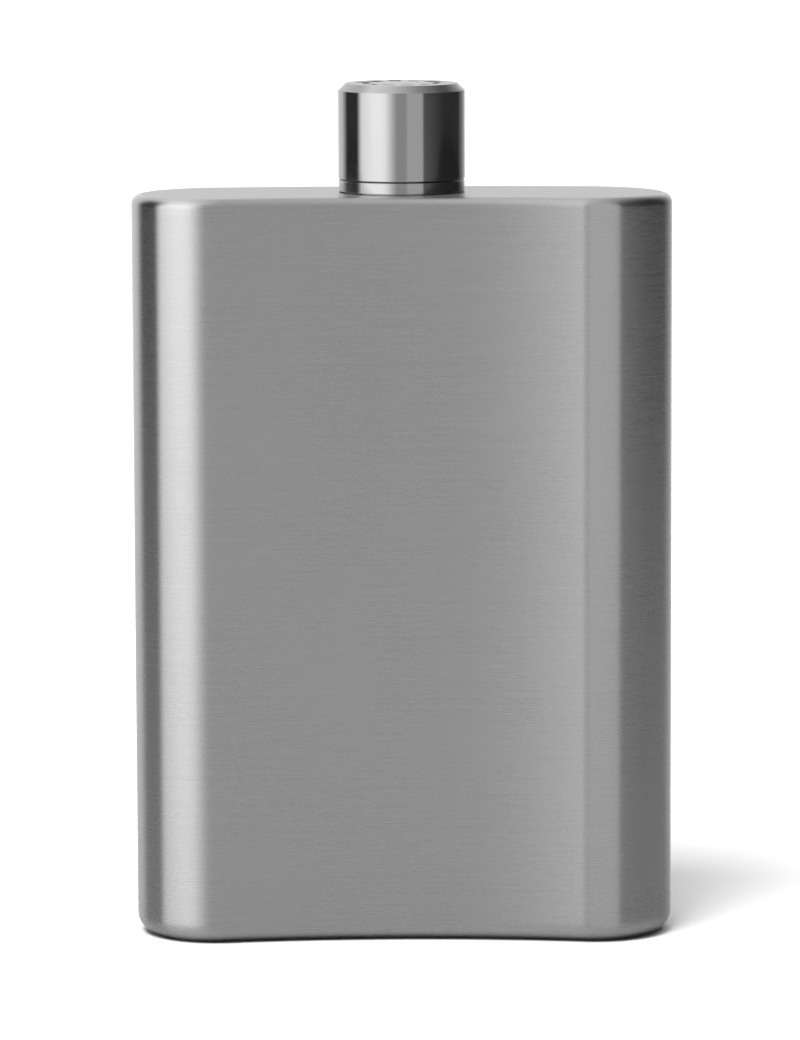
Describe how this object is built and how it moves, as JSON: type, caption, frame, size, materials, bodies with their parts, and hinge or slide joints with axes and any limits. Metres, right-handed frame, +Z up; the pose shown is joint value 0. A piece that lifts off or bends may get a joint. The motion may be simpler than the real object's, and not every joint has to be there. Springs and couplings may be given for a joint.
{
  "type": "hip flask",
  "caption": "Kidney-shaped brushed stainless hip flask with a concave face, flat shoulder, round collar and plain chamfered screw cap.",
  "frame": {"origin": "on the plane the flask stands on, at the centre of the plan outline's box", "axes": "+Z up along the neck, +X along the width, the concave face looks towards -Y"},
  "size_m": [0.088, 0.0296, 0.1395],
  "materials": {
    "brushed_body": "satin, fine horizontal brushing",
    "ground_weld": "weld metal, ground flush outside",
    "turned_neck": "fine turned",
    "polished_cap": "turned and polished stainless",
    "cap_liner": "natural moulded polypropylene",
    "silicone_seal": "translucent white silicone"
  },
  "bodies": {
    "flask": {"front_shell": "brushed_body", "back_shell": "brushed_body", "left_seam_weld": "ground_weld", "right_seam_weld": "ground_weld", "top_plate": "brushed_body", "top_seam_weld": "ground_weld", "base_plate": "brushed_body", "base_seam_weld": "ground_weld", "neck_tube": "turned_neck", "neck_collar": "polished_cap", "neck_weld": "ground_weld"},
    "seal": {"seal_disc": "silicone_seal"},
    "cap": {"cap_shell": "polished_cap", "cap_insert": "cap_liner"}
  },
  "joints": [
    {"name": "cap_rise", "type": "slide", "parent": "flask", "child": "seal", "axis": [0, 0, 1], "range_m": [0, 0.0125]},
    {"name": "cap_turn", "type": "hinge", "parent": "seal", "child": "cap", "pos_m": [0, 0.0013, 0.1318], "axis": [0, 0, 1], "range_deg": [0, 1800]}
  ],
  "couplings": [
    {"joint": "cap_turn", "follows": "cap_rise", "rad_per_m": 2513.3}
  ]
}
